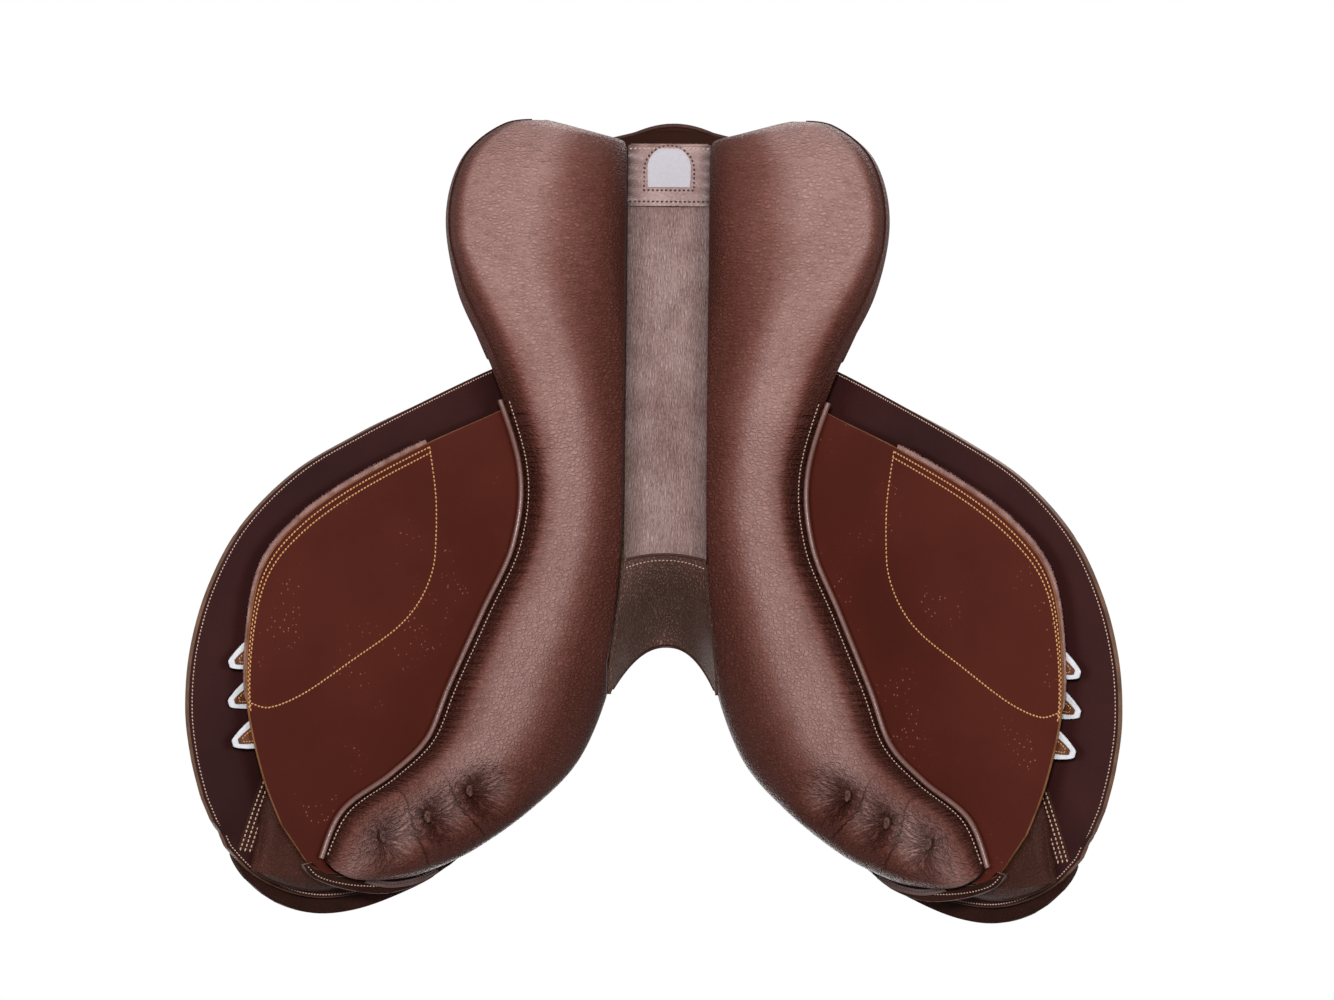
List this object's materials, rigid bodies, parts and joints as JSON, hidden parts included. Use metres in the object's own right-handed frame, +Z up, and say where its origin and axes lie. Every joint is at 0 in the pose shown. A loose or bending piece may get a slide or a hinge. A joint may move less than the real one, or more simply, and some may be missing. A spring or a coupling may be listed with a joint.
{
  "type": "close contact saddle",
  "caption": "English jumping saddle with shaped panels, gullet, pommel arch, forward cut flaps, skirts, stirrup bars and girth straps.",
  "frame": {"origin": "on the centre line under the balance point, 55 mm below the top of the surface that the panels are sewn along", "axes": "+X to the horse's near (left) side, +Y to the rear (cantle), +Z up"},
  "size_m": [0.7472, 0.6923, 0.3993],
  "materials": {
    "seat_calf": "semi-matte dark brown calf",
    "grained_calf": "grained mid-brown calf",
    "lining_hide": "matte lining leather",
    "head_hide": "coarse grained leather",
    "sweat_flap_hide": "smooth red-brown leather",
    "flap_hide": "dark plum-brown leather",
    "strap_hide": "waxed strap leather",
    "seat_foam": "open cell foam",
    "webbing": "woven webbing",
    "laminated_beech": "laminated beech",
    "blued_steel": "blued forged steel",
    "stainless_steel": "polished stainless steel",
    "badge_plate": "white enamel, bare"
  },
  "bodies": {
    "saddle": {"seat_cover": "seat_calf", "seat_foam": "seat_foam", "seat_web": "webbing", "seat_welt": "seat_calf", "cantle_back": "seat_calf", "pommel_facing": "seat_calf", "head_cover_left": "seat_calf", "head_cover_right": "seat_calf", "tree": "laminated_beech", "tree_head": "laminated_beech", "gullet_plate": "blued_steel", "tree_spring_left": "blued_steel", "tree_spring_right": "blued_steel", "gullet_lining": "lining_hide", "head_lining": "head_hide", "rear_tab": "grained_calf", "badge_plate": "badge_plate", "pommel_nail_left": "stainless_steel", "pommel_nail_right": "stainless_steel", "panel_left": "grained_calf", "panel_right": "grained_calf", "panel_piping_left": "grained_calf", "panel_piping_right": "grained_calf", "panel_facing_left": "grained_calf", "panel_facing_right": "grained_calf", "sweat_flap_left": "sweat_flap_hide", "sweat_flap_right": "sweat_flap_hide", "flap_root_left": "flap_hide", "flap_root_right": "flap_hide", "point_pocket_left": "strap_hide", "point_pocket_right": "strap_hide", "skirt_root_left": "flap_hide", "skirt_root_right": "flap_hide", "stirrup_bar_left": "blued_steel", "stirrup_bar_right": "blued_steel", "catch_rivet_left": "stainless_steel", "catch_rivet_right": "stainless_steel"},
    "flap_body_left": {"flap_left": "flap_hide", "knee_block_left": "grained_calf", "knee_pad_left": "grained_calf", "keeper_left": "flap_hide"},
    "flap_body_right": {"flap_right": "flap_hide", "knee_block_right": "grained_calf", "knee_pad_right": "grained_calf", "keeper_right": "flap_hide"},
    "skirt_body_left": {"skirt_left": "flap_hide"},
    "skirt_body_right": {"skirt_right": "flap_hide"},
    "catch_body_left": {"bar_catch_left": "stainless_steel"},
    "catch_body_right": {"bar_catch_right": "stainless_steel"},
    "billet_body_1_left": {"billet_1_left": "strap_hide"},
    "billet_body_2_left": {"billet_2_left": "strap_hide"},
    "billet_body_3_left": {"billet_3_left": "strap_hide"},
    "billet_body_1_right": {"billet_1_right": "strap_hide"},
    "billet_body_2_right": {"billet_2_right": "strap_hide"},
    "billet_body_3_right": {"billet_3_right": "strap_hide"}
  },
  "joints": [
    {"name": "flap_lift_left", "type": "hinge", "parent": "saddle", "child": "flap_body_left", "pos_m": [0.11221, -0.06483, 0.03033], "axis": [-0.1339, -0.9898, 0.0489], "range_deg": [0, 60]},
    {"name": "flap_lift_right", "type": "hinge", "parent": "saddle", "child": "flap_body_right", "pos_m": [-0.11221, -0.06483, 0.03033], "axis": [-0.1339, 0.9898, -0.0489], "range_deg": [0, 60]},
    {"name": "skirt_lift_left", "type": "hinge", "parent": "saddle", "child": "skirt_body_left", "pos_m": [0.09285, -0.05721, 0.06665], "axis": [-0.2613, -0.9632, 0.0635], "range_deg": [0, 54]},
    {"name": "skirt_lift_right", "type": "hinge", "parent": "saddle", "child": "skirt_body_right", "pos_m": [-0.09285, -0.05721, 0.06665], "axis": [-0.2613, 0.9632, -0.0635], "range_deg": [0, 54]},
    {"name": "catch_turn_left", "type": "hinge", "parent": "saddle", "child": "catch_body_left", "pos_m": [0.10777, -0.03178, 0.04422], "axis": [0.5909, -0.0051, 0.8067], "range_deg": [0, 80]},
    {"name": "catch_turn_right", "type": "hinge", "parent": "saddle", "child": "catch_body_right", "pos_m": [-0.10777, -0.03178, 0.04422], "axis": [0.5909, 0.0051, -0.8067], "range_deg": [0, 80]},
    {"name": "billet_swing_1_left", "type": "hinge", "parent": "saddle", "child": "billet_body_1_left", "pos_m": [0.096, -0.07016, 0.02128], "axis": [0.7132, 0, 0.701], "range_deg": [-3, 3]},
    {"name": "billet_swing_2_left", "type": "hinge", "parent": "saddle", "child": "billet_body_2_left", "pos_m": [0.096, -0.10786, 0.0272], "axis": [0.7132, 0, 0.701], "range_deg": [-3, 3]},
    {"name": "billet_swing_3_left", "type": "hinge", "parent": "saddle", "child": "billet_body_3_left", "pos_m": [0.096, -0.14567, 0.02128], "axis": [0.7132, 0, 0.701], "range_deg": [-3, 3]},
    {"name": "billet_swing_1_right", "type": "hinge", "parent": "saddle", "child": "billet_body_1_right", "pos_m": [-0.096, -0.07016, 0.02128], "axis": [-0.7132, 0, 0.701], "range_deg": [-3, 3]},
    {"name": "billet_swing_2_right", "type": "hinge", "parent": "saddle", "child": "billet_body_2_right", "pos_m": [-0.096, -0.10786, 0.0272], "axis": [-0.7132, 0, 0.701], "range_deg": [-3, 3]},
    {"name": "billet_swing_3_right", "type": "hinge", "parent": "saddle", "child": "billet_body_3_right", "pos_m": [-0.096, -0.14567, 0.02128], "axis": [-0.7132, 0, 0.701], "range_deg": [-3, 3]}
  ],
  "couplings": [
    {"joint": "skirt_lift_left", "follows": "flap_lift_left", "ratio": 0.9},
    {"joint": "skirt_lift_right", "follows": "flap_lift_right", "ratio": 0.9}
  ]
}
